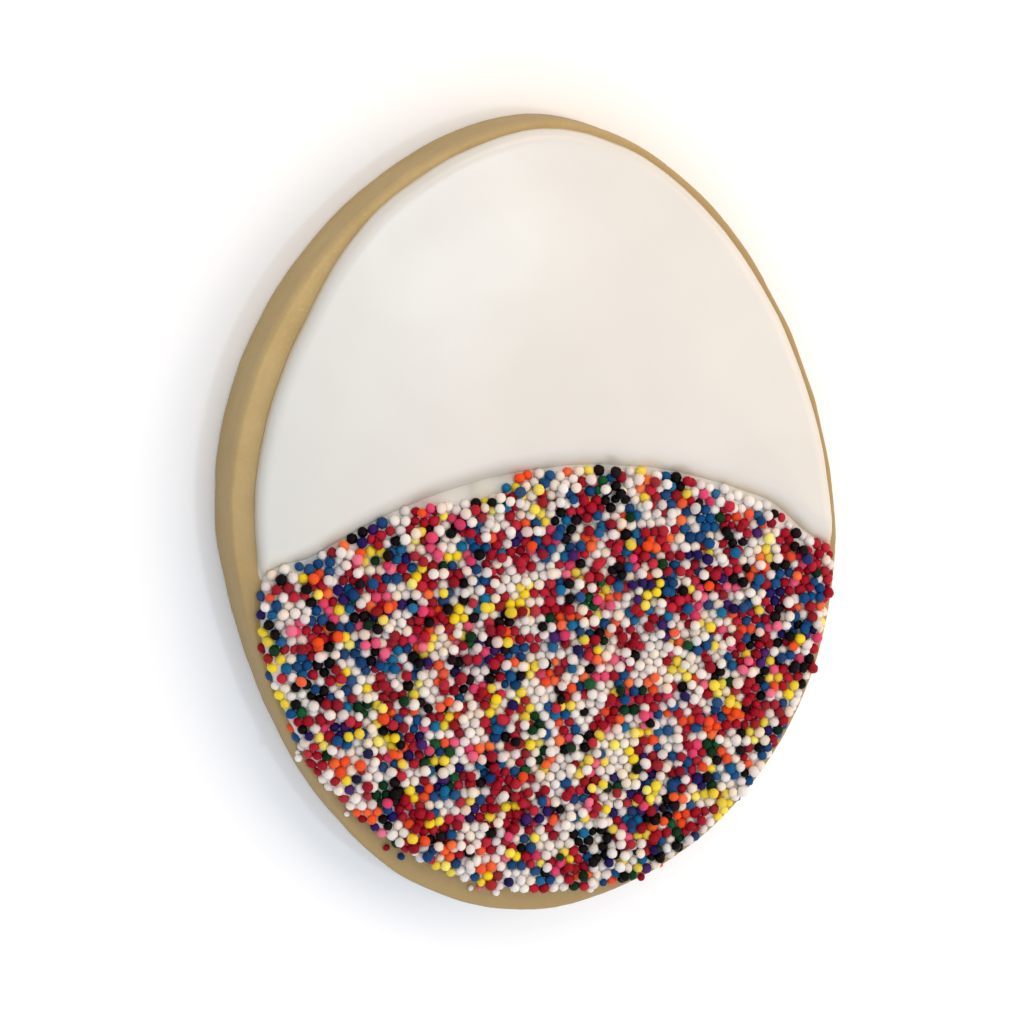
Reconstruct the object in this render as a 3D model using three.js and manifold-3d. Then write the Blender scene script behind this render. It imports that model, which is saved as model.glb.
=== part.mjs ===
// An egg-shaped sugar biscuit with a coat of icing in two zones: a smooth one round the narrow end,
// and one covered in tiny round sprinkles round the broad end. It lies flat, iced side up.
// Millimetres. +Z is up, +Y points to the narrow end, and the origin is under the middle.

import * as THREE from 'three';
import { mergeVertices } from 'three/addons/utils/BufferGeometryUtils.js';
import Module from 'manifold-3d';

// Biscuit outline, measured from its widest line
const HALF_WIDTH = 38.0;
const NARROW_END = 49.1;
const BROAD_END = 47.4;
const FULLNESS = 1.832; // 2 would make the two ends half ellipses

// How the hand-cut edge runs in and out of that even egg: waves round it
const EDGE_WAVES = [
  { lobes: 2, depth: 0.96, turn: 0 },
  { lobes: 3, depth: 0.16, turn: 0 },
  { lobes: 4, depth: 0.58, turn: 0.6 },
  { lobes: 5, depth: 0.21, turn: Math.PI },
];

// Biscuit section
const BISCUIT_HEIGHT = 8.0;
const BASE_ROUND = 0.8;
const RIM_RUN = 0.6;
const RIM_DROP = 1.2;
const WALL_LEAN = 0.12;
const BASE_STEPS = 2;
const RIM_STEPS = 4;

// Bare border round the icing at the +X side, and the widths that it changes to further round,
// each between two angles in degrees: wide beside the narrow end, nearly none after it, and wide
// again round the broad end
const BORDER = 1.05;
const BORDER_CHANGES = [
  { start: 122, end: 150, width: 3.05 },
  { start: 180, end: 197, width: 0.65 },
  { start: 208, end: 242, width: 2.8 },
  { start: 268, end: 294, width: BORDER },
];

// Seam between the two zones: a low arch that lifts a little near the -X edge and drops near the other
const SEAM_CREST = new THREE.Vector2(2.8, 8.35);
const SEAM_RADIUS = 55.4;
const SEAM_LIFT = 1.9;
const SEAM_LIFT_START = 27.7;
const SEAM_LIFT_END = 34.3;
const SEAM_DROP = 1.9;
const SEAM_DROP_START = 28.1;
const SEAM_DROP_END = 34.0;
const SEAM_GAP = 0.35;
const CORNER_SOFTENING = 1.3; // about the radius of the zones' corners

// Icing sections: an edge that rounds over, then a slight dome, or a level bed under the sprinkles
const SMOOTH_ICING = { edgeHeight: 1.55, edgeRun: 1.7, dome: 0.35 };
const SPRINKLE_BED = { edgeHeight: 1.7, edgeRun: 1.2, dome: 0 };
const EDGE_STEPS = 4;
const DOME_STEPS = 2;

// Sprinkles, the largest of those on the bed
const SPRINKLE_DIAMETER = 1.5;
const SPRINKLE_VARIATION = 0.12; // share of the diameter, either way
const SPRINKLE_SPACING = 2.95;
const SPRINKLE_JITTER = 0.24; // share of the spacing, either way
const SPRINKLE_EDGE_CLEARANCE = 0.8;
const SPRINKLE_LIFT = 0.28; // most that a centre stands over the bed
const STACKED_LIFT = 0.6; // the same for those that lie on others
const STACKED_SHARE = 0.08;
const SPRINKLE_SEED = 41;
const SPRINKLE_SIDES = 6;
const SPRINKLE_BANDS = 3;

// How finely the outlines are divided
const BISCUIT_SIDES = 96;
const ICING_SIDES = 92;
const FINE_SIDES = 720;
const CORNER_WEIGHT = 8; // extra length that a radian of turning counts for

const QUARTER_TURN = Math.PI / 2;
const FULL_TURN = Math.PI * 2;

const wasm = await Module();
wasm.setup();

// ---------------------------------------------------------------------------------- outlines

function rounded(value) {
  return Math.sign(value) * Math.abs(value) ** (2 / FULLNESS);
}

function eggPoint(angle) {
  const sine = Math.sin(angle);
  const reach = sine > 0 ? NARROW_END : BROAD_END;
  return new THREE.Vector2(HALF_WIDTH * rounded(Math.cos(angle)), reach * rounded(sine));
}

// The egg's outline moved inwards by a distance that may change round the egg
function eggLoop(sides, insetAt) {
  const step = 1e-2;
  return Array.from({ length: sides }, (_, index) => {
    const angle = (index / sides) * FULL_TURN;
    const along = eggPoint(angle + step).sub(eggPoint(angle - step)).normalize();
    const inward = new THREE.Vector2(-along.y, along.x);
    return eggPoint(angle).addScaledVector(inward, insetAt(angle));
  });
}

// How far the cut edge runs inside the even egg
function edgeInset(angle) {
  const parts = EDGE_WAVES.map(({ lobes, depth, turn }) => depth * Math.sin(lobes * angle + turn));
  return parts.reduce((sum, part) => sum + part, 0);
}

function icingBorder(angle) {
  const degrees = THREE.MathUtils.radToDeg(angle);
  let border = BORDER;
  for (const { start, end, width } of BORDER_CHANGES) {
    border = THREE.MathUtils.lerp(border, width, THREE.MathUtils.smoothstep(degrees, start, end));
  }
  return border;
}

function seamY(x) {
  const arch = SEAM_CREST.y - (x - SEAM_CREST.x) ** 2 / (2 * SEAM_RADIUS);
  const lift = SEAM_LIFT * THREE.MathUtils.smoothstep(-x, SEAM_LIFT_START, SEAM_LIFT_END);
  const drop = SEAM_DROP * THREE.MathUtils.smoothstep(x, SEAM_DROP_START, SEAM_DROP_END);
  return arch + lift - drop;
}

// A closed loop shared out again: evenly, but closer where it turns sharply
function shareOut(loop, count) {
  const size = loop.length;
  const reach = [0];
  for (let i = 0; i < size; i += 1) {
    const before = loop[(i + size - 1) % size];
    const here = loop[i];
    const after = loop[(i + 1) % size];
    const along = after.clone().sub(here);
    const turn = Math.abs(here.clone().sub(before).cross(along));
    const bend = turn / Math.max(along.length() * here.distanceTo(before), 1e-9);
    reach.push(reach[i] + along.length() + CORNER_WEIGHT * bend);
  }
  const points = [];
  let i = 0;
  for (let k = 0; k < count; k += 1) {
    const target = (k / count) * reach[size];
    while (reach[i + 1] < target) {
      i += 1;
    }
    const share = (target - reach[i]) / (reach[i + 1] - reach[i]);
    points.push(loop[i].clone().lerp(loop[(i + 1) % size], share));
  }
  return points;
}

function evenLoop(loop, count) {
  const path = new THREE.Path([...loop, loop[0]]);
  return path.getSpacedPoints(count).slice(0, count);
}

// Rounds a loop's corners by averaging each point with its neighbours
function soften(loop) {
  const size = loop.length;
  const pitch = loop[0].distanceTo(loop[1]);
  const passes = Math.round(2 * (CORNER_SOFTENING / pitch) ** 2);
  let points = loop;
  for (let pass = 0; pass < passes; pass += 1) {
    points = points.map((point, i) => {
      const middle = points[(i + size - 1) % size].clone().lerp(points[(i + 1) % size], 0.5);
      return point.clone().lerp(middle, 0.5);
    });
  }
  return points;
}

// Outline of one icing zone: side is +1 for the one above the seam and -1 for the one below
function zoneOutline(side) {
  const edge = eggLoop(FINE_SIDES, (angle) => edgeInset(angle) + icingBorder(angle));
  const isKept = (point) => side * (point.y - seamY(point.x)) > SEAM_GAP / 2;
  const first = edge.findIndex((point, i) => isKept(point) && !isKept(edge.at(i - 1)));
  const turned = [...edge.slice(first), ...edge.slice(0, first)];
  const kept = turned.filter(isKept);
  const start = kept.at(-1);
  const end = kept[0];
  const seamSteps = FINE_SIDES / 4;
  for (let k = 1; k < seamSteps; k += 1) {
    const x = THREE.MathUtils.lerp(start.x, end.x, k / seamSteps);
    kept.push(new THREE.Vector2(x, seamY(x) + (side * SEAM_GAP) / 2));
  }
  return shareOut(soften(evenLoop(kept, FINE_SIDES)), ICING_SIDES);
}

function insetLoop(loop, distance) {
  const size = loop.length;
  return loop.map((point, i) => {
    const along = loop[(i + 1) % size].clone().sub(loop[(i + size - 1) % size]).normalize();
    return point.clone().addScaledVector(new THREE.Vector2(-along.y, along.x), distance);
  });
}

function middleOf(loop) {
  const box = new THREE.Box2().setFromPoints(loop);
  return box.getCenter(new THREE.Vector2());
}

// ------------------------------------------------------------------------------------ solids

function raised(loop, height) {
  return loop.map((point) => new THREE.Vector3(point.x, point.y, height));
}

// A closed solid from rings of equal length, lowest first, with a fan over each end
function solidOfRings(rings, bottomMiddle, topMiddle) {
  const sides = rings[0].length;
  const points = [...rings.flat(), bottomMiddle, topMiddle];
  const bottom = points.length - 2;
  const top = points.length - 1;
  const lastRing = (rings.length - 1) * sides;
  const faces = [];
  for (let i = 0; i < sides; i += 1) {
    const next = (i + 1) % sides;
    faces.push(bottom, next, i);
    for (let ring = 0; ring < lastRing; ring += sides) {
      faces.push(ring + i, ring + next, ring + sides + next);
      faces.push(ring + i, ring + sides + next, ring + sides + i);
    }
    faces.push(top, lastRing + i, lastRing + next);
  }
  const geometry = new THREE.BufferGeometry().setFromPoints(points);
  geometry.setIndex(faces);
  return geometry;
}

function biscuitGeometry() {
  const rings = [];
  const addRing = (inset, height) => {
    rings.push(raised(eggLoop(BISCUIT_SIDES, (angle) => inset + edgeInset(angle)), height));
  };
  for (let k = 0; k <= BASE_STEPS; k += 1) {
    const angle = (k / BASE_STEPS) * QUARTER_TURN;
    addRing(BASE_ROUND * (1 - Math.sin(angle)), BASE_ROUND * (1 - Math.cos(angle)));
  }
  for (let k = 0; k <= RIM_STEPS; k += 1) {
    const angle = (k / RIM_STEPS) * QUARTER_TURN;
    const inset = WALL_LEAN + RIM_RUN * (1 - Math.cos(angle));
    addRing(inset, BISCUIT_HEIGHT - RIM_DROP * (1 - Math.sin(angle)));
  }
  const middle = new THREE.Vector3(0, 0, 0);
  return solidOfRings(rings, middle, middle.clone().setZ(BISCUIT_HEIGHT));
}

function icingGeometry(outline, { edgeHeight, edgeRun, dome }) {
  const middle = middleOf(outline);
  const rings = [];
  for (let k = 0; k <= EDGE_STEPS; k += 1) {
    const angle = (k / EDGE_STEPS) * QUARTER_TURN;
    const loop = insetLoop(outline, edgeRun * (1 - Math.cos(angle)));
    rings.push(raised(loop, BISCUIT_HEIGHT + edgeHeight * Math.sin(angle)));
  }
  const shoulder = insetLoop(outline, edgeRun);
  for (let k = 1; k <= DOME_STEPS; k += 1) {
    const shrink = k / (DOME_STEPS + 1);
    const loop = shoulder.map((point) => point.clone().lerp(middle, shrink));
    const rise = dome * (1 - (1 - shrink) ** 2);
    rings.push(raised(loop, BISCUIT_HEIGHT + edgeHeight + rise));
  }
  const bottomMiddle = new THREE.Vector3(middle.x, middle.y, BISCUIT_HEIGHT);
  const topHeight = BISCUIT_HEIGHT + edgeHeight + dome;
  return solidOfRings(rings, bottomMiddle, bottomMiddle.clone().setZ(topHeight));
}

// ---------------------------------------------------------------------------------- sprinkles

// Repeatable random numbers from 0 to 1
function randomDraws(seed) {
  let state = seed;
  return () => {
    state = (Math.imul(state, 1664525) + 1013904223) >>> 0;
    return state / 2 ** 32;
  };
}

function isInside(loop, point, clearance) {
  const size = loop.length;
  let crossings = 0;
  let nearest = Infinity;
  for (let i = 0; i < size; i += 1) {
    const from = loop[i];
    const to = loop[(i + 1) % size];
    const segment = new THREE.Line3(
      new THREE.Vector3(from.x, from.y, 0),
      new THREE.Vector3(to.x, to.y, 0),
    );
    const probe = new THREE.Vector3(point.x, point.y, 0);
    const touch = segment.closestPointToPoint(probe, true, new THREE.Vector3());
    nearest = Math.min(nearest, touch.distanceTo(probe));
    if (from.y > point.y !== to.y > point.y) {
      const x = from.x + ((point.y - from.y) / (to.y - from.y)) * (to.x - from.x);
      crossings += x > point.x ? 1 : 0;
    }
  }
  return crossings % 2 === 1 && nearest > clearance;
}

// Places over the zone on a triangular grid, each moved a little at random
function scatteredPlaces(outline, draw) {
  const box = new THREE.Box2().setFromPoints(outline);
  const rowPitch = SPRINKLE_SPACING * Math.sin(Math.PI / 3);
  const places = [];
  let row = 0;
  for (let y = box.min.y; y < box.max.y; y += rowPitch) {
    const shift = row % 2 === 0 ? 0 : SPRINKLE_SPACING / 2;
    for (let x = box.min.x + shift; x < box.max.x; x += SPRINKLE_SPACING) {
      const jitterX = (2 * draw() - 1) * SPRINKLE_JITTER * SPRINKLE_SPACING;
      const jitterY = (2 * draw() - 1) * SPRINKLE_JITTER * SPRINKLE_SPACING;
      const place = new THREE.Vector2(x + jitterX, y + jitterY);
      if (isInside(outline, place, SPRINKLE_EDGE_CLEARANCE)) {
        places.push(place);
      }
    }
    row += 1;
  }
  return places;
}

function heightOn(mesh, place) {
  const above = new THREE.Vector3(place.x, place.y, BISCUIT_HEIGHT * 2);
  const down = new THREE.Vector3(0, 0, -1);
  return new THREE.Raycaster(above, down).intersectObject(mesh)[0].point.z;
}

function sprinkleGeometry(place, height, draw) {
  const stretch = 1 + (2 * draw() - 1) * SPRINKLE_VARIATION;
  const radius = (SPRINKLE_DIAMETER / 2) * stretch;
  const sprinkle = new THREE.SphereGeometry(radius, SPRINKLE_SIDES, SPRINKLE_BANDS);
  sprinkle.rotateX(QUARTER_TURN);
  sprinkle.rotateZ(draw() * FULL_TURN);
  const lift = draw() < STACKED_SHARE ? STACKED_LIFT : SPRINKLE_LIFT * draw();
  sprinkle.translate(place.x, place.y, height + lift);
  return sprinkle;
}

// ------------------------------------------------------------------------------ joining solids

function toManifold(geometry) {
  geometry.deleteAttribute('normal');
  geometry.deleteAttribute('uv');
  const merged = mergeVertices(geometry, 1e-4);
  return new wasm.Manifold(new wasm.Mesh({
    numProp: 3,
    vertProperties: new Float32Array(merged.attributes.position.array),
    triVerts: new Uint32Array(merged.index.array),
  }));
}

function toGeometry(manifold) {
  const mesh = manifold.getMesh();
  const geometry = new THREE.BufferGeometry();
  geometry.setAttribute('position', new THREE.BufferAttribute(mesh.vertProperties, 3));
  geometry.setIndex(new THREE.BufferAttribute(mesh.triVerts, 1));
  return geometry;
}

function sprinkledGeometry(outline) {
  const bed = icingGeometry(outline, SPRINKLE_BED);
  const bedMesh = new THREE.Mesh(bed);
  const draw = randomDraws(SPRINKLE_SEED);
  let joined = toManifold(bed);
  for (const place of scatteredPlaces(outline, draw)) {
    const sprinkle = sprinkleGeometry(place, heightOn(bedMesh, place), draw);
    joined = joined.add(toManifold(sprinkle));
  }
  return toGeometry(joined);
}

// ---------------------------------------------------------------------------------- the cookie

function piece(name, geometry, color, roughness) {
  geometry.computeVertexNormals();
  const material = new THREE.MeshStandardMaterial({ color, roughness, metalness: 0 });
  const mesh = new THREE.Mesh(geometry, material);
  mesh.name = name;
  return mesh;
}

function icedCookie() {
  const cookie = new THREE.Group();
  cookie.add(
    piece('biscuit', biscuitGeometry(), '#c3a873', 0.85),
    piece('smooth_icing', icingGeometry(zoneOutline(1), SMOOTH_ICING), '#eee9e1', 0.4),
    piece('sprinkled_icing', sprinkledGeometry(zoneOutline(-1)), '#c7a9ad', 0.45),
  );
  const middle = new THREE.Box3().setFromObject(cookie).getCenter(new THREE.Vector3());
  cookie.position.set(-middle.x, -middle.y, 0);
  return cookie;
}

export default icedCookie();
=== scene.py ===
import math

import bmesh
import bpy
import numpy as np
from mathutils import Matrix, Vector, noise
from mathutils.kdtree import KDTree


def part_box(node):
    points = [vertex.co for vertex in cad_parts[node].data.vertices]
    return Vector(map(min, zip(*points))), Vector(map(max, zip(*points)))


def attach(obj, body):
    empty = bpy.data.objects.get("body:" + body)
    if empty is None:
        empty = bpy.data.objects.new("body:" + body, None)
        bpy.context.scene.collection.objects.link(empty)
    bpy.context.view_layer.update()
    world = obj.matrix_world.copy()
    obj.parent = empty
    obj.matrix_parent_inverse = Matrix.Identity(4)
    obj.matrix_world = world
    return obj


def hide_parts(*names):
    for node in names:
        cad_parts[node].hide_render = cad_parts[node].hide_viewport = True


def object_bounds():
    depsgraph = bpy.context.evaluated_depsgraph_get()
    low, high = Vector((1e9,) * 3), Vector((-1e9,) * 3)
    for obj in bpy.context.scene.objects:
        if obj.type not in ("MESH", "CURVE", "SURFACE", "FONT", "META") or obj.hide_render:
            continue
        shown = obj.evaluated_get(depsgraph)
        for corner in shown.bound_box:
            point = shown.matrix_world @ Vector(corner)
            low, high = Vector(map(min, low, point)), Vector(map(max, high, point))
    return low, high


# An egg-shaped iced cookie: the baked biscuit, the smooth white icing round its narrow end,
# and the icing round its broad end under a full cover of tiny round sugar sprinkles.
# Lengths are in millimetres up to the last step of each piece, which turns them into metres.

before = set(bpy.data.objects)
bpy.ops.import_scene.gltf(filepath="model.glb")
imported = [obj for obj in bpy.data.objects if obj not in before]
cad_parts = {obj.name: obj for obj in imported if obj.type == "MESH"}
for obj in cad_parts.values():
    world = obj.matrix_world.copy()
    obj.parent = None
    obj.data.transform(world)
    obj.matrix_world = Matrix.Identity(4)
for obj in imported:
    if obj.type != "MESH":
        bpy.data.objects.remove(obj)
cad_lowest, cad_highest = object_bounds()

METRE = 1000.0

# Biscuit, as in the frame: the outline is two rounded half ovals that meet at the widest line
BISCUIT_LOW, BISCUIT_HIGH = (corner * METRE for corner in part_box("biscuit"))
BISCUIT_TOP = BISCUIT_HIGH.z
HALF_WIDTH = 38.0
NARROW_END = 49.1
BROAD_END = 47.4
FULLNESS = 1.832
BASE_ROUND = 0.8
RIM_RUN = 0.6
RIM_DROP = 1.2
WALL_LEAN = 0.12

# Rings of points that the biscuit's skin is drawn through, from the middle of its underside up
BISCUIT_SIDES = 440
UNDERSIDE_SHARES = np.linspace(0.02, 0.98, 22)
FOOT_STEPS = 5
WALL_STEPS = 12
RIM_STEPS = 8
BORDER_STEPS = 11
BORDER_REACH = 5.0
TOP_SHARES = (0.9, 0.6, 0.3, 0.05)

# The hand-cut edge runs in and out of that even egg in waves: lobes, depth and turn of each
EDGE_WAVES = ((2, 0.96, 0.0), (3, 0.16, 0.0), (4, 0.58, 0.6), (5, 0.21, math.pi))

# Bare border round the icing at the +X side, and the widths that it changes to further round,
# each with the angles in degrees between which it changes
BORDER = 1.05
BORDER_CHANGES = ((122, 150, 3.05), (180, 197, 0.65), (208, 242, 2.8), (268, 294, BORDER))

# The seam between the two icings
SEAM_CREST = (2.8, 8.35)
SEAM_RADIUS = 55.4
SEAM_LIFT = 1.9
SEAM_LIFT_REACH = (27.7, 34.3)
SEAM_DROP = 1.9
SEAM_DROP_REACH = (28.1, 34.0)
CORNER_SOFTENING = 1.3
OUTLINE_STEPS = 1440

# Slow and quick bends of the line that the poured icing takes
ICING_WAVER = 0.12
SLOW_BEND = 6.0
QUICK_BEND = 1.3

# Sections of the two icings, whose rolled edges overlap at the seam and meet there in a valley.
# A dip is its depth at the seam and its reach.
SMOOTH_EDGE = 1.55
SMOOTH_RUN = 1.6
SMOOTH_DOME = 0.35
SMOOTH_DIP = (1.2, 3.8)
DOME_REACH = 7.0
BED_EDGE = 1.3
BED_RUN = 1.2
BED_DIP = (0.7, 2.4)
BED_INSET = 0.4
DIP_BEND = 2.4
SEAM_OVERLAP = 1.0
SUNK_FOOT = 0.4
ROLL_BEND = 3
ROLL_STEEPNESS = 0.55

# Rings of points that each icing's skin is drawn through
UNDER_ICING_SHARES = (0.02, 0.5, 0.97)
ROLLED_EDGE_STEPS = 12
ROLLED_EDGE_SOFTENING = 0.3
INNERMOST_RING = 0.99
RING_CROWDING = 1.4
SMOOTH_SIDES = 440
SMOOTH_INNER_RINGS = 34
BED_SIDES = 360
BED_INNER_RINGS = 45

# Sprinkles: a close first layer and a scattered second one
SPRINKLE_DIAMETER = 1.28
SPRINKLE_SPREAD = 0.055
SPRINKLE_SMALLEST = 0.52
SPRINKLE_LARGEST = 0.74
LAYER_PITCH = 1.25
LAYER_JITTER = 0.25
FIRST_LAYER_MARGIN = 0.2
SECOND_LAYER = 520
SECOND_LAYER_MARGIN = 1.2
POURING_HEIGHT = 0.6
SPRINKLE_SQUASH = 0.045
SPRINKLE_LUMPS = 0.03
SPRINKLE_SEED = 7

# Settling: how far a sprinkle sinks and is pushed in each round, and how close sprinkles may lie
SETTLING_ROUNDS = 120
ROUNDS_BETWEEN_SEARCHES = 6
SINKING = 0.03
PUSH = 0.45
LONGEST_PUSH = 0.5
CLOSENESS = 0.97
NEAR_REACH = 1.9

# How deep the lowest ones stand in the icing, as a share of their radius: middle, spread, limits
STANDING_DEPTH = 0.25
STANDING_SPREAD = 0.25
STANDING_LIMITS = (-0.2, 0.7)

# Clear height left under the top of the frame, as a share of a sprinkle's radius
HIGHEST_SHARE = 1.12

# How far their middles keep inside the edge of the icing, with more at the broad end
WALL_MARGIN = 0.4
TAIL_MARGIN = 0.35
TAIL_REACH = (28, 42)

# The bare strip along the seam: its least width, and by how much it widens between which places
STRIP_LEAST = 0.25
STRIP_WIDENED = 1.9
STRIP_WIDENS = (-17.0, -8.0)
STRIP_NARROWS = (-6.5, -3.5)
STRIP_RIGHT = 0.2
STRIP_RIGHT_REACH = (-2.0, 4.0)
STRIP_RAGGEDNESS = 0.9
STRIP_CREEP = 0.15

# Broken bits on the bare border: their number, place and size
STRAYS = 14
STRAYS_BELOW = -20.0
STRAY_REACH = (0.1, 0.7)
STRAY_RADII = (0.28, 0.5)

# Colours of the sprinkles: how they clump, and within which distances they touch or stain
CLUMP_SIZE = 3.4
CLUMPING = 2.3
COPYING = 0.42
COPYING_REACH = 1.5
BLEEDING_REACH = 1.7
STAINING_NEIGHBOURS = 7
SHARES = {
    "white": 0.396,
    "red": 0.228,
    "blue": 0.115,
    "yellow": 0.075,
    "pink": 0.036,
    "black": 0.058,
    "navy": 0.036,
    "orange": 0.064,
    "green": 0.024,
}


# ----------------------------------------------------------------------------------- outlines


def egg_loop(sides, inset=0.0):
    """Points round the egg's outline, moved inwards by inset, which is one number or one a point."""
    angles = np.linspace(0, 2 * math.pi, sides, endpoint=False)

    def point(angle):
        cosine, sine = np.cos(angle), np.sin(angle)
        reach = np.where(sine > 0, NARROW_END, BROAD_END)
        x = HALF_WIDTH * np.sign(cosine) * abs(cosine) ** (2 / FULLNESS)
        return np.stack([x, reach * np.sign(sine) * abs(sine) ** (2 / FULLNESS)], axis=1)

    small_turn = 0.01
    along = point(angles + small_turn) - point(angles - small_turn)
    along /= np.linalg.norm(along, axis=1)[:, None]
    inward = np.stack([-along[:, 1], along[:, 0]], axis=1)
    return point(angles) + inward * np.broadcast_to(inset, sides)[:, None]


def turns(sides):
    """Angles of the points round the egg."""
    return np.linspace(0, 2 * math.pi, sides, endpoint=False)


def wander(sides):
    """How far the cut edge runs inside the even egg at each point round it."""
    return sum(depth * np.sin(lobes * turns(sides) + turn) for lobes, depth, turn in EDGE_WAVES)


def border(sides):
    """Width of the bare border at each point round the egg."""
    width = np.full(sides, BORDER)
    for start, end, changed in BORDER_CHANGES:
        width += (changed - width) * eased(np.degrees(turns(sides)), start, end)
    return width


def frame_shift():
    """From the egg's widest line to the frame's origin, under the middle of the biscuit."""
    outline = egg_loop(96, wander(96))
    return -(outline.min(axis=0) + outline.max(axis=0)) / 2


def eased(value, start, end):
    """0 up to start, 1 from end on, and a smooth rise between them."""
    share = np.clip((value - start) / (end - start), 0, 1)
    return share**2 * (3 - 2 * share)


def seam_y(x):
    """The seam's y at each x: an arch that is lifted towards -X and lowered towards +X."""
    arch = SEAM_CREST[1] - (x - SEAM_CREST[0]) ** 2 / (2 * SEAM_RADIUS)
    return arch + SEAM_LIFT * eased(-x, *SEAM_LIFT_REACH) - SEAM_DROP * eased(x, *SEAM_DROP_REACH)


def even_loop(points, count):
    """A closed loop's line with its points spread evenly along it."""
    closed = np.vstack([points, points[:1]])
    reach = np.concatenate([[0], np.cumsum(np.linalg.norm(np.diff(closed, axis=0), axis=1))])
    wanted = np.linspace(0, reach[-1], count, endpoint=False)
    return np.stack([np.interp(wanted, reach, closed[:, axis]) for axis in (0, 1)], axis=1)


def soften(points, radius):
    """Rounds a loop's corners by averaging each point with its neighbours."""
    pitch = np.linalg.norm(points[1] - points[0])
    for _ in range(round(2 * (radius / pitch) ** 2)):
        points = points / 2 + (np.roll(points, 1, axis=0) + np.roll(points, -1, axis=0)) / 4
    return points


def inset_loop(points, distance):
    """A loop moved inwards, at right angles to its own line."""
    along = np.roll(points, -1, axis=0) - np.roll(points, 1, axis=0)
    along /= np.linalg.norm(along, axis=1)[:, None]
    return points + distance * np.stack([-along[:, 1], along[:, 0]], axis=1)


def zone_outline(side, sides, overlap=0.0, inset=0.0):
    """Outline of one icing, above the seam for side 1 and below it for side -1."""
    fine = OUTLINE_STEPS
    edge = egg_loop(fine, wander(fine) + border(fine) + inset)
    kept = side * (edge[:, 1] - seam_y(edge[:, 0])) > -overlap
    first = next(i for i in range(fine) if kept[i] and not kept[i - 1])
    arc = np.roll(edge, -first, axis=0)[np.roll(kept, -first)]
    x = np.linspace(arc[-1, 0], arc[0, 0], fine // 4)[1:-1]
    seam = np.stack([x, seam_y(x) - side * overlap], axis=1)
    loop = soften(even_loop(np.vstack([arc, seam]), fine), CORNER_SOFTENING)
    return wavering(even_loop(loop, sides)) + frame_shift()


def wavering(loop):
    """The uneven line that poured icing takes: slow bends and a little fine unrest."""
    slow = [noise.noise(Vector((x / SLOW_BEND, y / SLOW_BEND, 1.5))) for x, y in loop]
    quick = [noise.noise(Vector((x / QUICK_BEND, y / QUICK_BEND, 7.5))) for x, y in loop]
    offsets = ICING_WAVER * np.array(slow) + ICING_WAVER / 4 * np.array(quick)
    return inset_loop(loop, offsets[:, None])


class DepthMap:
    """How far inside a closed outline a place is, read from a fine grid; negative outside it."""

    pitch = 0.5
    margin = 3.0

    def __init__(self, outline):
        self.low = outline.min(axis=0) - self.margin
        counts = np.ceil((outline.max(axis=0) + self.margin - self.low) / self.pitch).astype(int)
        x = self.low[0] + self.pitch * np.arange(counts[0])
        y = self.low[1] + self.pitch * np.arange(counts[1])
        places = np.stack(np.meshgrid(x, y, indexing="ij"), axis=-1).reshape(-1, 2)
        self.depths = depth_inside(places, outline).reshape(counts)

    def __call__(self, places):
        spot = (places - self.low) / self.pitch
        cell = np.clip(spot.astype(int), 0, np.array(self.depths.shape) - 2)
        u, v = np.clip(spot - cell, 0, 1).T
        i, j = cell.T
        near = self.depths[i, j] * (1 - v) + self.depths[i, j + 1] * v
        far = self.depths[i + 1, j] * (1 - v) + self.depths[i + 1, j + 1] * v
        return near * (1 - u) + far * u

    def inwards(self, places):
        """Direction towards the inside at each place."""
        step = self.pitch
        across = self(places + (step, 0)) - self(places - (step, 0))
        along = self(places + (0, step)) - self(places - (0, step))
        return np.stack([across, along], axis=1) / (2 * step)


def depth_inside(places, outline):
    """Signed distance of each place from a closed outline, positive inside it."""
    depths = np.empty(len(places))
    ends = np.roll(outline, -1, axis=0)
    step = ends - outline
    rise = np.where(step[:, 1] == 0, 1e-12, step[:, 1])
    block_size = 4000
    for begin in range(0, len(places), block_size):
        block = places[begin : begin + block_size, None, :]
        away = block - outline
        share = np.clip((away * step).sum(axis=2) / (step**2).sum(axis=1), 0, 1)
        nearest = np.linalg.norm(away - share[..., None] * step, axis=2).min(axis=1)
        crosses = (block[..., 1] >= outline[:, 1]) != (block[..., 1] >= ends[:, 1])
        crossing = outline[:, 0] + away[..., 1] / rise * step[:, 0]
        hits = (crosses & (crossing > block[..., 0])).sum(axis=1)
        depths[begin : begin + block_size] = np.where(hits % 2 == 1, nearest, -nearest)
    return depths


def raised(loop, height):
    """A flat loop put at a height."""
    return np.column_stack([loop, np.full(len(loop), height)])


# ------------------------------------------------------------------------------------- solids


def stacked_solid(rings):
    """A closed solid: a disc pulled through the rings in turn, with each end drawn to a point."""
    shape = bmesh.new()
    corner = shape.verts.layers.int.new("corner")
    bmesh.ops.create_circle(shape, cap_ends=True, segments=len(rings[0]), radius=1)
    for number, vert in enumerate(shape.verts):
        vert[corner] = number
    disc = next(iter(shape.faces))
    ends = [list(disc.verts)]
    for number, ring in enumerate(rings):
        if number > 0:
            region = [disc, *disc.edges, *disc.verts]
            pulled = bmesh.ops.extrude_face_region(shape, geom=region)["geom"]
            disc = next(part for part in pulled if isinstance(part, bmesh.types.BMFace))
        for vert in disc.verts:
            vert.co = ring[vert[corner]]
    ends.append(list(disc.verts))
    for end in ends:
        middle = sum((vert.co for vert in end), Vector()) / len(end)
        bmesh.ops.pointmerge(shape, verts=end, merge_co=middle)
    bmesh.ops.recalc_face_normals(shape, faces=shape.faces)
    shape.normal_update()
    return shape


def quarter(steps):
    """Angles that share out a quarter turn, both ends included."""
    return np.linspace(0, math.pi / 2, steps + 1)


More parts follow.
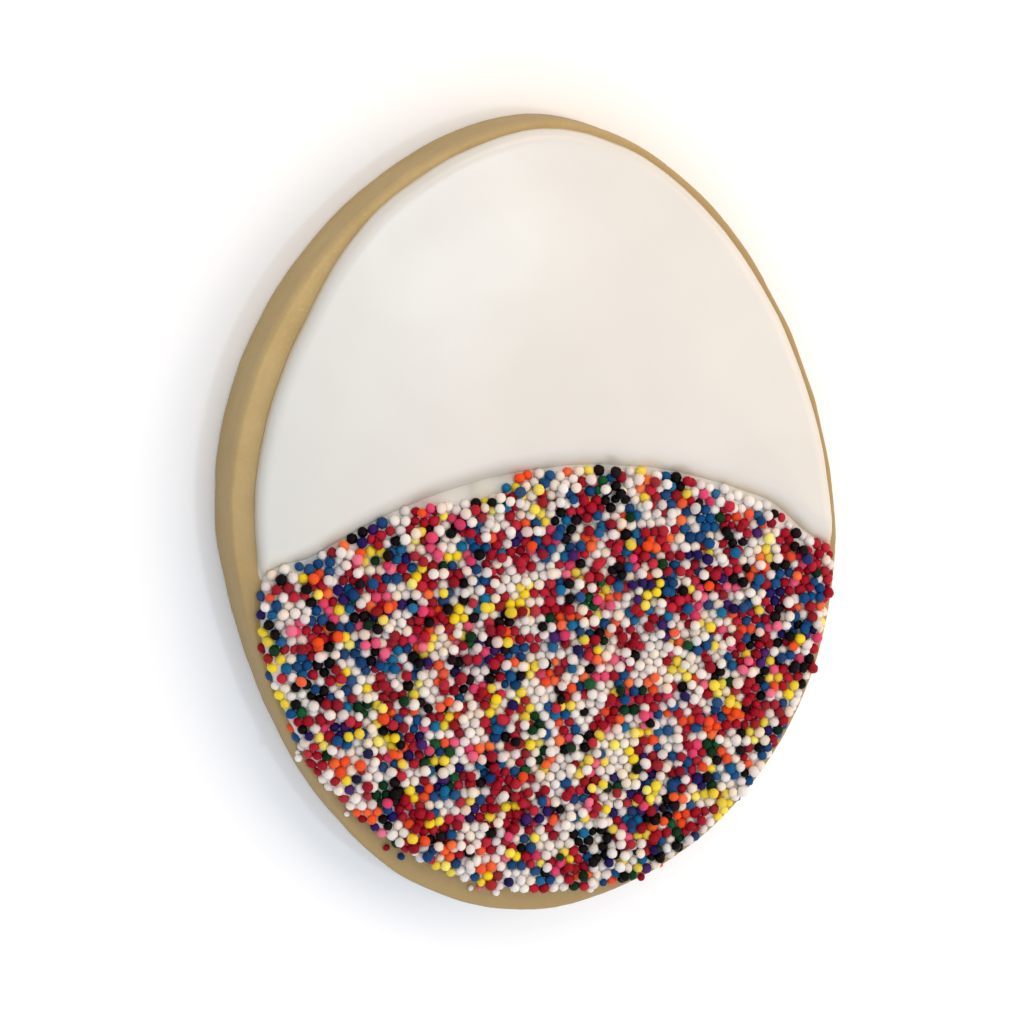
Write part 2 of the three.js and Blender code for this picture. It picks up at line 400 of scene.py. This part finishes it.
def drawn_in(loop, height, steps):
    """Rings from the middle of a flat loop out to it."""
    middle = (loop.min(axis=0) + loop.max(axis=0)) / 2
    return [raised(middle + (loop - middle) * share, height) for share in steps]


def finish_piece(name, shape, material, nodes):
    """Turns a modelled shape into metres and puts it in the scene."""
    bmesh.ops.scale(shape, vec=Vector((1, 1, 1)) / METRE, verts=shape.verts)
    mesh = bpy.data.meshes.new(name)
    shape.to_mesh(mesh)
    shape.free()
    return place_piece(name, mesh, material, nodes)


def place_piece(name, mesh, material, nodes):
    """Puts a mesh in the scene in place of these nodes of the frame."""
    mesh.shade_smooth()
    mesh.materials.append(material)
    piece = bpy.data.objects.new(name, mesh)
    bpy.context.scene.collection.objects.link(piece)
    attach(piece, "root")
    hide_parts(*nodes)
    return piece


def ruffle(shape, amount, size, seed, lowest=-1e9):
    """Moves the skin in and out by soft noise of one size; what is below lowest stays."""
    offset = Vector((seed, seed * 0.37, -seed))
    for vert in shape.verts:
        if vert.co.z > lowest:
            vert.co += vert.normal * amount * noise.noise(vert.co / size + offset)
    shape.normal_update()


# ------------------------------------------------------------------------------------ biscuit


def biscuit():
    shift = frame_shift()

    def outline(inset):
        return egg_loop(BISCUIT_SIDES, inset + wander(BISCUIT_SIDES)) + shift

    rings = drawn_in(outline(BASE_ROUND), 0.0, UNDERSIDE_SHARES)
    for angle in quarter(FOOT_STEPS):
        inset = BASE_ROUND * (1 - math.sin(angle))
        rings.append(raised(outline(inset), BASE_ROUND * (1 - math.cos(angle))))
    wall_top = BISCUIT_TOP - RIM_DROP
    for height in np.linspace(BASE_ROUND, wall_top, WALL_STEPS + 1)[1:-1]:
        share = (height - BASE_ROUND) / (wall_top - BASE_ROUND)
        rings.append(raised(outline(WALL_LEAN * share), height))
    for angle in quarter(RIM_STEPS):
        inset = WALL_LEAN + RIM_RUN * (1 - math.cos(angle))
        rings.append(raised(outline(inset), BISCUIT_TOP - RIM_DROP * (1 - math.sin(angle))))
    for inset in np.linspace(WALL_LEAN + RIM_RUN, BORDER_REACH, BORDER_STEPS + 1)[1:]:
        rings.append(raised(outline(inset), BISCUIT_TOP))
    rings += drawn_in(outline(BORDER_REACH), BISCUIT_TOP, TOP_SHARES)
    shape = stacked_solid(rings)
    ruffle(shape, amount=0.12, size=5.0, seed=3, lowest=BASE_ROUND / 4)
    ruffle(shape, amount=0.04, size=1.1, seed=11)
    keep_inside(shape)
    return finish_piece("biscuit_baked", shape, baked_biscuit(), ["biscuit"])


def keep_inside(shape):
    """Holds the skin inside the frame's own box."""
    for vert in shape.verts:
        for axis in range(3):
            vert.co[axis] = min(max(vert.co[axis], BISCUIT_LOW[axis]), BISCUIT_HIGH[axis])


# -------------------------------------------------------------------------------------- icing


def smooth_height(places, depth):
    """Height of the smooth icing: a rolled edge, a slow rise and a dip towards the seam."""
    swell = 1 - np.exp(-((np.clip(depth, 0, None) / DOME_REACH) ** 2))
    edge = SMOOTH_EDGE * rolled(depth / SMOOTH_RUN)
    return edge + SMOOTH_DOME * swell - dip(from_seam(places), *SMOOTH_DIP)


def bed_height(places, depth):
    """Height of the icing under the sprinkles: a rolled edge and a dip towards the seam."""
    return BED_EDGE * rolled(depth / BED_RUN) - dip(-from_seam(places), *BED_DIP)


def rolled(share):
    """Rises from 0 as steeply as a poured edge does and ends at 1 without a crease."""
    return (1 - (1 - np.clip(share, 0, 1)) ** ROLL_BEND) ** ROLL_STEEPNESS


def dip(distance, depth, reach):
    """A slope down to the seam, steepest there."""
    return depth * (1 - np.clip(distance / reach, 0, 1)) ** DIP_BEND


def from_seam(places):
    """How far each place is beyond the seam, towards the narrow end."""
    x, y = (places - frame_shift()).T
    return y - seam_y(x)


def icing_rings(outline, run, height_at, inner_rings):
    """Rings of one icing, from under its middle, round its edge and over it, closer at the edge."""
    foot = BISCUIT_TOP - SUNK_FOOT
    rings = drawn_in(outline, foot, UNDER_ICING_SHARES)
    rings.append(raised(outline, foot))
    loops = [outline]
    reach = run * (1 - np.cos(quarter(ROLLED_EDGE_STEPS)))
    for near, far in zip(reach, reach[1:]):
        loops.append(soften(inset_loop(loops[-1], far - near), ROLLED_EDGE_SOFTENING))
    middle = (outline.min(axis=0) + outline.max(axis=0)) / 2
    shoulder = loops[-1]
    shrinking = 1 - INNERMOST_RING * np.linspace(0, 1, inner_rings)[1:] ** RING_CROWDING
    loops += [middle + (shoulder - middle) * share for share in shrinking]
    for loop in loops:
        height = height_at(loop, depth_inside(loop, outline))
        rings.append(np.column_stack([loop, BISCUIT_TOP + np.maximum(height, 0)]))
    return rings


def smooth_icing():
    outline = zone_outline(1, SMOOTH_SIDES, overlap=SEAM_OVERLAP)
    rings = icing_rings(outline, SMOOTH_RUN, smooth_height, SMOOTH_INNER_RINGS)
    shape = stacked_solid(rings)
    ruffle(shape, amount=0.10, size=16.0, seed=5, lowest=BISCUIT_TOP)
    ruffle(shape, amount=0.02, size=4.0, seed=8, lowest=BISCUIT_TOP)
    return finish_piece("icing_smooth", shape, white_icing(), ["smooth_icing"])


# ---------------------------------------------------------------------------------- sprinkles


def close_pairs(centres, reach):
    """Pairs of sprinkles whose centres are closer than reach."""
    first, second = [], []
    order = np.argsort(centres[:, 0])
    across = centres[order, 0]
    for number, own in enumerate(order):
        end = np.searchsorted(across, across[number] + reach)
        others = order[number + 1 : end]
        near = others[np.linalg.norm(centres[others] - centres[own], axis=1) < reach]
        first += [own] * len(near)
        second += list(near)
    return np.array(first), np.array(second)


def poured_sprinkles(cover, outline, draw):
    """Centres and radii before settling: a loose triangular grid, and a scatter above it."""
    low, high = outline.min(axis=0), outline.max(axis=0)
    row_pitch = LAYER_PITCH * math.sin(math.pi / 3)
    columns = np.arange(low[0], high[0], LAYER_PITCH)
    x, y = np.meshgrid(columns, np.arange(low[1], high[1], row_pitch))
    x += LAYER_PITCH / 2 * (np.arange(len(x)) % 2)[:, None]
    grid = np.stack([x, y], axis=-1).reshape(-1, 2)
    grid += LAYER_JITTER * draw.uniform(-1, 1, grid.shape)
    first = grid[cover(grid) > FIRST_LAYER_MARGIN]
    scatter = low + draw.random((SECOND_LAYER * 4, 2)) * (high - low)
    second = scatter[cover(scatter) > SECOND_LAYER_MARGIN][:SECOND_LAYER]
    places = np.vstack([first, second])
    heights = BISCUIT_TOP + BED_EDGE + POURING_HEIGHT * draw.random(len(places))
    heights[len(first) :] += SPRINKLE_DIAMETER
    radii = SPRINKLE_DIAMETER / 2 * (1 + SPRINKLE_SPREAD * draw.standard_normal(len(places)))
    return np.column_stack([places, heights]), np.clip(radii, SPRINKLE_SMALLEST, SPRINKLE_LARGEST)


def bare_strip(x):
    """How far the sprinkles' middles keep off the seam: most of all a little left of its middle."""
    widened = eased(x, *STRIP_WIDENS) * (1 - eased(x, *STRIP_NARROWS))
    return STRIP_LEAST + STRIP_WIDENED * widened + STRIP_RIGHT * eased(x, *STRIP_RIGHT_REACH)


def settle(centres, radii, cover, bed, draw):
    """Lets the sprinkles sink on to the bed and push each other apart until they lie close."""
    standing = STANDING_DEPTH + STANDING_SPREAD * draw.standard_normal(len(radii))
    standing = radii * np.clip(standing, *STANDING_LIMITS)
    wall = WALL_MARGIN + TAIL_MARGIN * eased(-centres[:, 1], *TAIL_REACH)
    offset = bare_strip(centres[:, 0] - frame_shift()[0])
    offset += STRIP_RAGGEDNESS * draw.uniform(0, 1, len(radii)) ** 2 - STRIP_CREEP
    for turn in range(SETTLING_ROUNDS):
        if turn % ROUNDS_BETWEEN_SEARCHES == 0:
            first, second = close_pairs(centres, NEAR_REACH)
        centres[:, 2] -= SINKING
        gap = centres[second] - centres[first]
        distance = np.linalg.norm(gap, axis=1)
        crowding = np.clip(CLOSENESS * (radii[first] + radii[second]) - distance, 0, None)
        shift = gap * (PUSH * crowding / np.maximum(distance, 1e-6))[:, None]
        for axis in range(3):
            centres[:, axis] += np.bincount(second, shift[:, axis], len(centres))
            centres[:, axis] -= np.bincount(first, shift[:, axis], len(centres))
        places = centres[:, :2]
        past_wall = np.clip(wall - cover(places), 0, LONGEST_PUSH)
        places += cover.inwards(places) * past_wall[:, None]
        centres[:, 1] -= np.clip(offset + from_seam(places), 0, LONGEST_PUSH)
        floor = BISCUIT_TOP + bed_height(places, bed(places)) + standing
        centres[:, 2] = np.maximum(centres[:, 2], floor)
    ceiling = cad_highest.z * METRE - HIGHEST_SHARE * radii
    centres[:, 2] = np.minimum(centres[:, 2], ceiling)


def strays(outline, draw):
    """A few broken bits on the bare border round the broad end."""
    spots = outline[draw.integers(len(outline), size=STRAYS * 12)]
    chosen = spots[spots[:, 1] < STRAYS_BELOW][:STRAYS]
    away = chosen / np.linalg.norm(chosen, axis=1)[:, None]
    places = chosen + away * draw.uniform(*STRAY_REACH, (STRAYS, 1))
    radii = draw.uniform(*STRAY_RADII, STRAYS)
    return np.column_stack([places, BISCUIT_TOP + 0.5 * radii]), radii


def clumped_kinds(centres, draw):
    """A colour for each sprinkle, in the given shares but with loose clumps of one colour."""
    shares = np.array(list(SHARES.values()))
    kinds = np.empty(len(centres), int)
    for number, centre in enumerate(centres):
        spot = Vector(centre) / CLUMP_SIZE
        pull = [noise.noise(spot + Vector((9.7 * kind, 3.1, 5.3))) for kind in range(len(shares))]
        odds = shares * np.exp(CLUMPING * np.array(pull))
        kinds[number] = draw.choice(len(shares), p=odds / odds.sum())
    first, second = close_pairs(centres, COPYING_REACH)
    copied = draw.random(len(first)) < COPYING / 3
    kinds[second[copied]] = kinds[first[copied]]
    return kinds


def bleeding(centres, kinds, paints):
    """The mean colour of each sprinkle and those that touch it."""
    first, second = close_pairs(centres, BLEEDING_REACH)
    total = paints[kinds].copy()
    weight = np.ones(len(centres))
    for one, other in ((first, second), (second, first)):
        weight += np.bincount(one, minlength=len(centres))
        for channel in range(3):
            total[:, channel] += np.bincount(one, paints[kinds[other], channel], len(centres))
    return total / weight[:, None]


def sprinkle_ball():
    """Corners and faces of one ball of unit radius, with four dozen sides."""
    shape = bmesh.new()
    bmesh.ops.create_uvsphere(shape, u_segments=8, v_segments=6, radius=1)
    corners = np.array([vert.co for vert in shape.verts])
    faces = [[vert.index for vert in face.verts] for face in shape.faces]
    shape.free()
    return corners, faces


def random_turns(count, draw):
    """Rotation matrices in random directions."""
    w, x, y, z = (draw.standard_normal((count, 4)) + 1e-9).T
    size = np.sqrt(w * w + x * x + y * y + z * z)
    w, x, y, z = w / size, x / size, y / size, z / size
    rows = [
        [1 - 2 * (y * y + z * z), 2 * (x * y - z * w), 2 * (x * z + y * w)],
        [2 * (x * y + z * w), 1 - 2 * (x * x + z * z), 2 * (y * z - x * w)],
        [2 * (x * z - y * w), 2 * (y * z + x * w), 1 - 2 * (x * x + y * y)],
    ]
    return np.transpose(np.array(rows), (2, 0, 1))


def sprinkle_piece(colour, centres, radii, bleed, draw):
    """All the sprinkles of one colour, joined."""
    count = len(centres)
    corners, faces = sprinkle_ball()
    squash = 1 + SPRINKLE_SQUASH * draw.standard_normal((count, 1, 3))
    lumps = 1 + SPRINKLE_LUMPS * draw.standard_normal((count, len(corners), 1))
    balls = corners * squash * lumps * radii[:, None, None]
    balls = np.einsum("nij,nkj->nki", random_turns(count, draw), balls) + centres[:, None, :]
    starts = range(0, count * len(corners), len(corners))
    joined_faces = [[start + corner for corner in face] for start in starts for face in faces]
    mesh = bpy.data.meshes.new("sprinkles_" + colour)
    mesh.from_pydata((balls.reshape(-1, 3) / METRE).tolist(), [], joined_faces)
    shade = np.repeat(draw.uniform(-1, 1, count), len(corners))
    mesh.attributes.new("shade", "FLOAT", "POINT").data.foreach_set("value", shade)
    stain = np.column_stack([bleed, draw.random(count)])
    stain = np.repeat(stain, len(corners), axis=0)
    mesh.attributes.new("bleed", "FLOAT_COLOR", "POINT").data.foreach_set("color", stain.ravel())
    name = "sprinkle_" + colour
    material = sugar_sprinkle(name, *SPRINKLE_COLOURS[colour])
    return place_piece("sprinkles_" + colour, mesh, material, ["sprinkled_icing"])


def sprinkled_icing():
    draw = np.random.default_rng(SPRINKLE_SEED)
    cover_outline = zone_outline(-1, BED_SIDES, overlap=WALL_MARGIN)
    bed_outline = zone_outline(-1, BED_SIDES, overlap=SEAM_OVERLAP, inset=BED_INSET)
    cover = DepthMap(cover_outline)
    bed = DepthMap(bed_outline)
    centres, radii = poured_sprinkles(cover, cover_outline, draw)
    settle(centres, radii, cover, bed, draw)
    stray_centres, stray_radii = strays(cover_outline, draw)
    centres = np.vstack([centres, stray_centres])
    radii = np.concatenate([radii, stray_radii])
    paints = np.array([SPRINKLE_COLOURS[name][0] for name in SHARES])
    kinds = clumped_kinds(centres, draw)
    bleed = bleeding(centres, kinds, paints)
    for number, name in enumerate(SHARES):
        own = kinds == number
        sprinkle_piece(name, centres[own], radii[own], bleed[own], draw)
    shape = stacked_solid(icing_rings(bed_outline, BED_RUN, bed_height, BED_INNER_RINGS))
    ruffle(shape, amount=0.12, size=2.5, seed=9, lowest=BISCUIT_TOP)
    stain_bed(shape, centres, paints[kinds])
    finish_piece("icing_bed", shape, stained_icing(), ["sprinkled_icing"])


def stain_bed(shape, centres, paints):
    """Paints the bed with a soft mix of the colours of the sprinkles nearby."""
    bleed = shape.verts.layers.float_color.new("bleed")
    tree = KDTree(len(centres))
    for number, centre in enumerate(centres):
        tree.insert(centre, number)
    tree.balance()
    for vert in shape.verts:
        mixed = np.zeros(3)
        total = 0.0
        for _, number, distance in tree.find_n(vert.co, STAINING_NEIGHBOURS):
            weight = math.exp(-(distance**2))
            mixed += weight * paints[number]
            total += weight
        vert[bleed] = (*(mixed / max(total, 1e-9)), 1.0)


# ---------------------------------------------------------------------------------- materials


def paint(red, green, blue):
    """A colour given as a screen shows it, from 0 to 255, as the linear numbers a shader takes."""
    return tuple((channel / 255) ** 2.2 for channel in (red, green, blue))


# Each colour of sprinkle, and the lighter and the duller one that some of them have
SPRINKLE_COLOURS = {
    "white": (paint(229, 222, 217), paint(229, 210, 186), paint(204, 198, 198)),
    "red": (paint(150, 8, 34), paint(186, 36, 58), paint(122, 4, 28)),
    "blue": (paint(0, 72, 122), paint(12, 108, 150), paint(0, 52, 96)),
    "yellow": (paint(236, 204, 32), paint(242, 230, 120), paint(204, 186, 68)),
    "pink": (paint(214, 62, 106), paint(230, 116, 142), paint(188, 44, 86)),
    "black": (paint(12, 4, 8), paint(32, 18, 24), paint(6, 4, 6)),
    "navy": (paint(34, 22, 86), paint(74, 36, 100), paint(18, 18, 58)),
    "orange": (paint(232, 76, 26), paint(240, 118, 62), paint(208, 66, 34)),
    "green": (paint(6, 54, 28), paint(26, 90, 52), paint(2, 36, 20)),
}


class Socket:
    """A number or colour coming out of a node. Arithmetic on numbers adds Math nodes."""

    def __init__(self, maker, output):
        self.maker = maker
        self.output = output

    def _math(self, operation, *values):
        return self.maker.node("ShaderNodeMath", {"operation": operation}, *values)

    def __add__(self, other):
        return self._math("ADD", self, other)

    def __radd__(self, other):
        return self._math("ADD", other, self)

    def __sub__(self, other):
        return self._math("SUBTRACT", self, other)

    def __rsub__(self, other):
        return self._math("SUBTRACT", other, self)

    def __mul__(self, other):
        return self._math("MULTIPLY", self, other)

    def __rmul__(self, other):
        return self._math("MULTIPLY", other, self)

    def clamped(self):
        return self.maker.node("ShaderNodeClamp", {}, self)


class Finish:
    """A material under construction."""

    def __init__(self, name):
        self.material = bpy.data.materials.new(name)
        self.material.use_nodes = True
        self.tree = self.material.node_tree
        self.tree.nodes.clear()

    def node(self, kind, settings=None, *values, output=None, **named):
        """A node of this kind: settings first, then the values or links of its sockets.

        Gives the output of that name, or else the first one."""
        made = self.tree.nodes.new(kind)
        for name, value in (settings or {}).items():
            setattr(made, name, value)
        pairs = list(zip(made.inputs, values))
        pairs += [(made.inputs[name.replace("_", " ")], value) for name, value in named.items()]
        for socket, value in pairs:
            if isinstance(value, Socket):
                self.tree.links.new(value.output, socket)
            elif value is not None:
                socket.default_value = value
        if output:
            return Socket(self, made.outputs[output])
        return Socket(self, next((out for out in made.outputs if out.enabled), None))

    def places(self):
        return self.node("ShaderNodeTexCoord", output="Object")

    def mottle(self, size, detail=2.0, rough=0.5):
        """Soft noise from 0 to 1 whose patches are about size millimetres across."""
        return self.node(
            "ShaderNodeTexNoise", {}, Vector=self.places(),
            Scale=METRE / size, Detail=detail, Roughness=rough,
        )

    def spread(self, value, low, high):
        """value stretched so that low gives 0 and high gives 1."""
        return ((value - low) * (1 / (high - low))).clamped()

    def blend(self, share, one, other):
        """One colour turning into the other as share goes from 0 to 1."""
        made = self.tree.nodes.new("ShaderNodeMix")
        made.data_type = "RGBA"
        for name, value in (("Factor", share), ("A", one), ("B", other)):
            kind = "RGBA" if name in "AB" else "VALUE"
            socket = next(s for s in made.inputs if s.name == name and s.type == kind)
            if isinstance(value, Socket):
                self.tree.links.new(value.output, socket)
            else:
                socket.default_value = (*value, 1) if kind == "RGBA" else value
        return Socket(self, next(s for s in made.outputs if s.type == "RGBA"))

    def attribute(self, name, output):
        return self.node("ShaderNodeAttribute", {"attribute_name": name}, output=output)

    def part_of(self, place, axis):
        """One coordinate of each place, in millimetres."""
        return self.node("ShaderNodeSeparateXYZ", {}, place, output=axis) * METRE

    def distance(self, spot):
        """How far each place is from one spot, in millimetres."""
        kind, settings = "ShaderNodeVectorMath", {"operation": "DISTANCE"}
        away = self.node(kind, settings, self.places(), Vector(spot) / METRE, output="Value")
        return away * METRE

    def bump(self, relief, depth):
        return self.node("ShaderNodeBump", {}, Height=relief, Distance=depth / METRE)

    def close(self, **sockets):
        """Ends the material with one shader and these sockets."""
        shader = self.node("ShaderNodeBsdfPrincipled", {}, **sockets)
        self.node("ShaderNodeOutputMaterial", {}, shader)
        return self.material


# Where the biscuit is painted brightest, in millimetres: on the border beside the narrow end. Away
# from it the colour darkens, partly from uneven baking and partly as painted shade where less light
# falls.
BRIGHTEST_SPOT = (-22.0, 33.0, 8.0)


def baked_biscuit():
    """Pale crumb, darker away from its brightest spot and on the wall, each partly browner baking and
    partly painted shade, and browned at the foot.
    """
    made = Finish("baked biscuit")
    broad = made.spread(made.mottle(9.0), 0.35, 0.65)
    patch = made.spread(made.mottle(2.6, 3.0), 0.35, 0.68)
    grain = made.mottle(0.45, 3.0, 0.6)
    crumb, pale_crumb, dull_crumb = paint(186, 159, 108), paint(197, 171, 121), paint(178, 150, 102)
    pale_fleck = paint(208, 184, 136)
    toasted_and_shaded, browned_and_shaded_wall, browned_foot = paint(150, 126, 86), paint(150, 126, 84), paint(160, 124, 78)
    colour = made.blend(broad, crumb, pale_crumb)
    colour = made.blend(patch * 0.5, colour, dull_crumb)
    colour = made.blend(made.spread(grain, 0.56, 0.72) * 0.35, colour, pale_fleck)
    # Painted shade, with some uneven baking: darker away from the brightest spot, on the sides that
    # get less light
    from_brightest = made.distance(BRIGHTEST_SPOT)
    colour = made.blend(made.spread(from_brightest, 6, 46) * 0.72, colour, toasted_and_shaded)
    level = made.part_of(made.places(), "Z")
    # The wall darker: partly a browner baked side, partly painted shade on the upright wall
    wall = 1 - made.spread(level, 6.6, 8.0)
    colour = made.blend(wall * 0.55, colour, browned_and_shaded_wall)
    foot = 1 - made.spread(level, 0.0, 1.0)
    colour = made.blend(foot * 0.45, colour, browned_foot)
    relief = made.mottle(0.9, 4.0, 0.65)
    normal = made.bump(relief, 0.10)
    return made.close(
        Base_Color=colour, Roughness=0.62 + grain * 0.3, Normal=normal,
        Subsurface_Weight=0.12, Subsurface_Radius=(0.0012, 0.0007, 0.0003),
        Subsurface_Scale=1.0,
    )


def icing_skin(made, colour, rough):
    """Soft sugar icing, slightly uneven and a little see-through at its surface."""
    relief = made.mottle(5.0, 2.0, 0.4)
    normal = made.bump(relief, 0.02)
    return made.close(
        Base_Color=colour, Roughness=rough, Normal=normal,
        Subsurface_Weight=0.25, Subsurface_Radius=(0.0012, 0.0010, 0.0008),
        Subsurface_Scale=1.0, Specular_IOR_Level=0.45,
    )


def seam_shade(made, reach):
    """1 along the seam, falling to 0 at reach millimetres on either side of it."""
    crest = frame_shift() + SEAM_CREST
    across = made.part_of(made.places(), "X") - crest[0]
    above = made.part_of(made.places(), "Y") - crest[1] + across * across * (0.5 / SEAM_RADIUS)
    return 1 - made.spread(above * above, 0, reach**2)


def white_icing():
    """White, greyer towards -X as painted shade, creamy at its foot, and with painted shade along the
    seam.
    """
    made = Finish("white icing")
    white, dull_white, painted_shade_white = paint(218, 214, 209), paint(213, 209, 204), paint(207, 207, 204)
    crumb_stain, seam_shade_grey = paint(200, 182, 152), paint(178, 176, 170)
    cloud = made.spread(made.mottle(14.0), 0.3, 0.7)
    colour = made.blend(cloud, white, dull_white)
    across = made.part_of(made.places(), "X")
    # Painted shade: greyer and cooler towards -X, away from the warm light
    colour = made.blend(1 - made.spread(across, -34, -8), colour, painted_shade_white)
    level = made.part_of(made.places(), "Z")
    foot = (1 - made.spread(level, 8.2, 9.5)) * (0.5 + made.spread(across, 12, 30) * 0.4)
    colour = made.blend(foot, colour, crumb_stain)
    # Painted shade in the valley along the seam, fading towards +X where the light comes from
    shaded = seam_shade(made, 2.6) * (0.55 - made.spread(across, 0, 12) * 0.45)
    colour = made.blend(shaded, colour, seam_shade_grey)
    return icing_skin(made, colour, rough=0.28)


def stained_icing():
    """White icing that takes up patches of colour from the sprinkles nearby, with painted shade along
    the seam.
    """
    made = Finish("stained icing")
    white, seam_shade_grey = paint(216, 211, 206), paint(190, 190, 184)
    bleed = made.attribute("bleed", "Color")
    patch = made.spread(made.mottle(1.4, 3.0), 0.4, 0.65)
    # Painted shade in the valley along the seam
    colour = made.blend(seam_shade(made, 3.0) * 0.7, white, seam_shade_grey)
    colour = made.blend(0.1 + patch * 0.2, colour, bleed)
    return icing_skin(made, colour, rough=0.4 + patch * 0.1)


def sugar_sprinkle(name, colour, lighter, duller):
    """Sugar whose colour varies from sprinkle to sprinkle and takes up some of its neighbours'."""
    made = Finish(name.replace("_", " "))
    shade = made.attribute("shade", "Fac")
    worn = made.spread(made.mottle(0.5, 3.0), 0.45, 0.7)
    base = made.blend(made.spread(shade, 0.2, 1.1), colour, lighter)
    base = made.blend(made.spread(shade, -0.2, -1.1), base, duller)
    paleness = sum(colour) / 3
    soaked = made.attribute("bleed", "Alpha")
    taken_up = 0.05 * paleness + soaked * soaked * (0.4 * paleness) + worn * (0.1 * paleness)
    base = made.blend(taken_up, base, made.attribute("bleed", "Color"))
    return made.close(
        Base_Color=base, Roughness=0.42 + worn * 0.15,
        Normal=made.bump(made.mottle(0.35), 0.02),
        Specular_IOR_Level=0.1, Subsurface_Weight=0.35 + 0.4 * paleness,
        Subsurface_Radius=(0.0010, 0.0009, 0.0008), Subsurface_Scale=1.0,
    )


# --------------------------------------------------------------------------- camera and stage

# The camera's turn, and where the middle of the egg's widest line lies in the picture
CAMERA_TILT = math.radians(21.94)
CAMERA_SIDE = math.radians(145.2)
CAMERA_ROLL = math.radians(2.06)
CAMERA_DISTANCE = 0.35
SENSOR_WIDTH = 36.0
PIXELS_PER_MM = 8.3
PICTURE_SIZE = 1024
WIDEST_LINE_PIXEL = (524.05, 523.5)

# The stage
FLOOR_REACH = 1.5
FLOOR_PAINT = paint(250, 251, 255)
SKY_COLOUR = (0.96, 0.99, 1.0)
SKY_STRENGTH = 0.76


def photo_camera():
    """Looks down at the middle of the widest line, tilted towards the narrow end's -X side."""
    data = bpy.data.cameras.new("photo_camera")
    data.sensor_width = SENSOR_WIDTH
    focal_pixels = PIXELS_PER_MM * CAMERA_DISTANCE * METRE
    data.lens = focal_pixels / PICTURE_SIZE * data.sensor_width
    centre = PICTURE_SIZE / 2
    data.shift_x = (centre - WIDEST_LINE_PIXEL[0]) / PICTURE_SIZE
    data.shift_y = (WIDEST_LINE_PIXEL[1] - centre) / PICTURE_SIZE
    data.clip_start = 0.01
    hinge = Vector((-math.sin(CAMERA_SIDE), math.cos(CAMERA_SIDE), 0))
    turn = Matrix.Rotation(-CAMERA_ROLL, 4, "Z") @ Matrix.Rotation(CAMERA_TILT, 4, hinge)
    target = Vector((*frame_shift(), 0)) / METRE
    camera = bpy.data.objects.new("photo_camera", data)
    back = turn @ Vector((0, 0, CAMERA_DISTANCE))
    camera.matrix_world = Matrix.Translation(target + back) @ turn
    bpy.context.scene.collection.objects.link(camera)
    bpy.context.scene.camera = camera


def soft_light(name, place, size, power, colour):
    """A round light that faces the frame's origin."""
    data = bpy.data.lights.new(name, "AREA")
    data.shape = "DISK"
    data.size = size
    data.energy = power
    data.color = colour
    light = bpy.data.objects.new(name, data)
    light.location = place
    light.rotation_euler = (-Vector(place)).to_track_quat("-Z", "Y").to_euler()
    bpy.context.scene.collection.objects.link(light)


def studio():
    """A pale floor, an even sky and the soft lights."""
    mesh = bpy.data.meshes.new("floor")
    shape = bmesh.new()
    bmesh.ops.create_grid(shape, x_segments=1, y_segments=1, size=FLOOR_REACH)
    shape.to_mesh(mesh)
    shape.free()
    made = Finish("pale floor")
    mesh.materials.append(made.close(Base_Color=(*FLOOR_PAINT, 1), Roughness=0.9))
    floor = bpy.data.objects.new("floor", mesh)
    bpy.context.scene.collection.objects.link(floor)

    world = bpy.data.worlds.new("studio")
    world.use_nodes = True
    sky = world.node_tree.nodes["Background"]
    sky.inputs["Color"].default_value = (*SKY_COLOUR, 1)
    sky.inputs["Strength"].default_value = SKY_STRENGTH
    bpy.context.scene.world = world
    soft_light("lamp", place=(0.108, -0.012, 0.46), size=0.03, power=0.19, colour=(0.80, 0.95, 1.0))
    soft_light("ceiling", place=(0.0, 0.0, 0.42), size=0.25, power=0.07, colour=(0.1, 0.34, 0.92))
    warm, warmest = (1.0, 0.77, 0.53), (1.0, 0.68, 0.38)
    cool = (0.76, 0.86, 1.0)
    soft_light("right_window", place=(0.26, 0.02, 0.24), size=0.24, power=0.35, colour=warmest)
    soft_light("far_window", place=(0.05, 0.26, 0.26), size=0.24, power=0.35, colour=warm)
    soft_light("near_window", place=(0.05, -0.28, 0.24), size=0.25, power=0.21, colour=cool)
    bpy.context.scene.view_settings.view_transform = "Standard"


# --------------------------------------------------------------------------------- the cookie

photo_camera()
studio()
biscuit()
smooth_icing()
sprinkled_icing()

bpy.context.view_layer.update()
